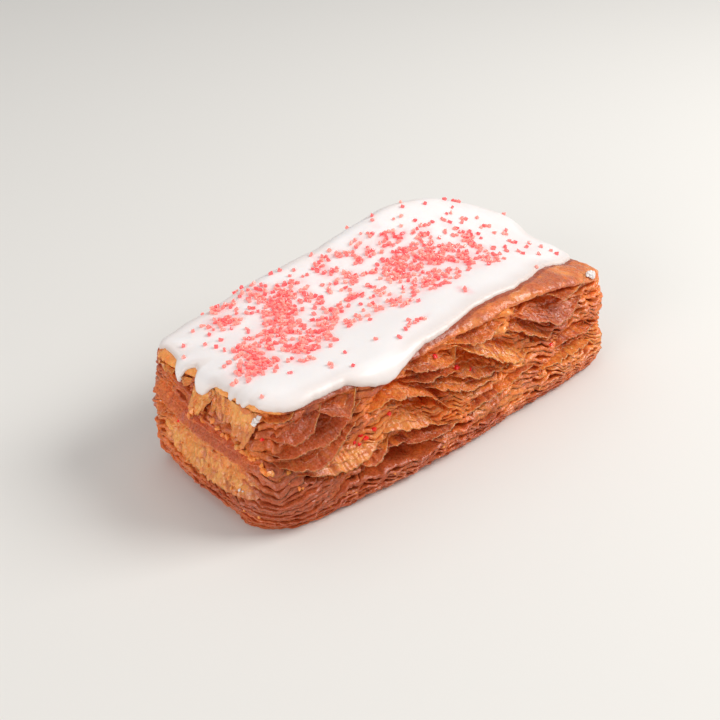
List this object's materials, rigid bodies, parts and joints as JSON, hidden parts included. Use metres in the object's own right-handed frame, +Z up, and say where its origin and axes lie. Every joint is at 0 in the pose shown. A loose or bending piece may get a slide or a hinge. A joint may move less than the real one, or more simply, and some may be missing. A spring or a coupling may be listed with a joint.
{
  "type": "cronut stick",
  "caption": "Bar of fried laminated dough with flaky torn sides, topped with dripping white icing and pink sugar crystals; lies flat on its base.",
  "frame": {"origin": "middle of the underside of the bar's box, on the surface it rests on", "axes": "+X along the bar, away from the end with the small drips; +Y across it, away from the side with the bare strip of crust; +Z up"},
  "size_m": [0.1267, 0.0648, 0.0435],
  "materials": {
    "pastry": null,
    "icing": null
  },
  "bodies": {
    "root": {"pastry": "pastry", "icing": "icing"}
  },
  "joints": []
}
